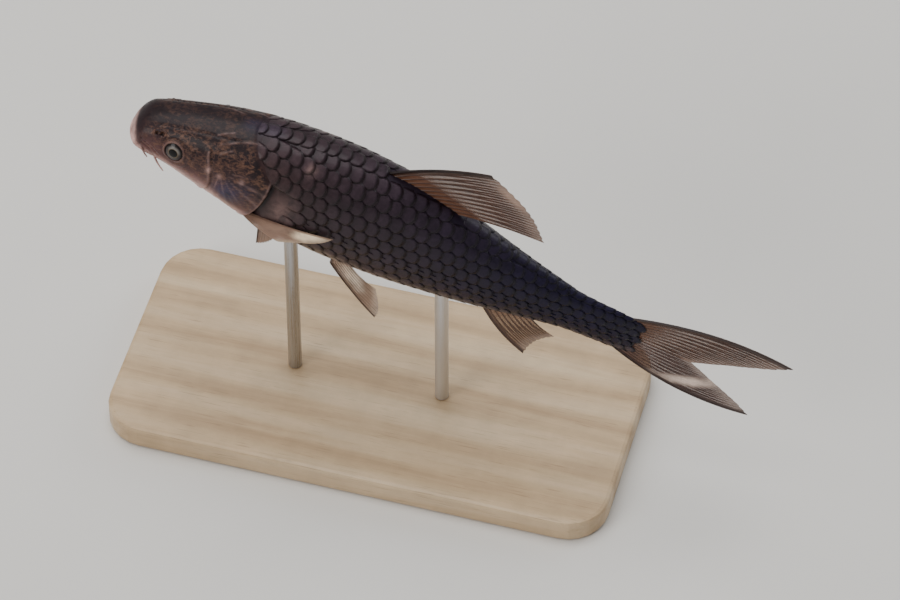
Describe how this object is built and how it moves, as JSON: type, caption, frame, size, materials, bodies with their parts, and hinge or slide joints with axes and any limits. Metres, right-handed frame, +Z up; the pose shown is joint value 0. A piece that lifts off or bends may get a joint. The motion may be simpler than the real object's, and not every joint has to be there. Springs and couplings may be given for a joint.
{
  "type": "brook carp",
  "caption": "Life-size brook carp, a dark large-scaled river fish with a forked tail, rising nose-up on a plain stand with a flat base and slim rods.",
  "frame": {"origin": "centre of the stand base's underside, on the floor", "axes": "+X from the fish's head towards its tail, +Z up; the fish's left side faces -Y"},
  "size_m": [0.1959, 0.072, 0.1095],
  "materials": {
    "body_skin": "moist satin skin under dark net-edged scales",
    "head_skin": "moist satin skin, brown-mauve",
    "jaw_skin": "moist satin, pale pinkish white",
    "gill_cover": "moist satin with a bluish silver sheen",
    "eye": "polished, black pupil and silvery iris",
    "fin_membrane": "thin smoky brown membrane with darker rays",
    "base_wood": "satin pale oak",
    "rod_steel": "satin"
  },
  "bodies": {
    "root": {"head": "head_skin", "lower_jaw": "jaw_skin", "gill_cover_left": "gill_cover", "gill_cover_right": "gill_cover", "eye_left": "eye", "eye_right": "eye", "trunk": "body_skin", "tail_stem": "body_skin", "dorsal_fin": "fin_membrane", "anal_fin": "fin_membrane", "pectoral_fin_left": "fin_membrane", "pectoral_fin_right": "fin_membrane", "pelvic_fin_left": "fin_membrane", "pelvic_fin_right": "fin_membrane", "caudal_fin_upper": "fin_membrane", "caudal_fin_lower": "fin_membrane", "stand_base": "base_wood", "stand_rod_front": "rod_steel", "stand_rod_rear": "rod_steel"}
  },
  "joints": []
}
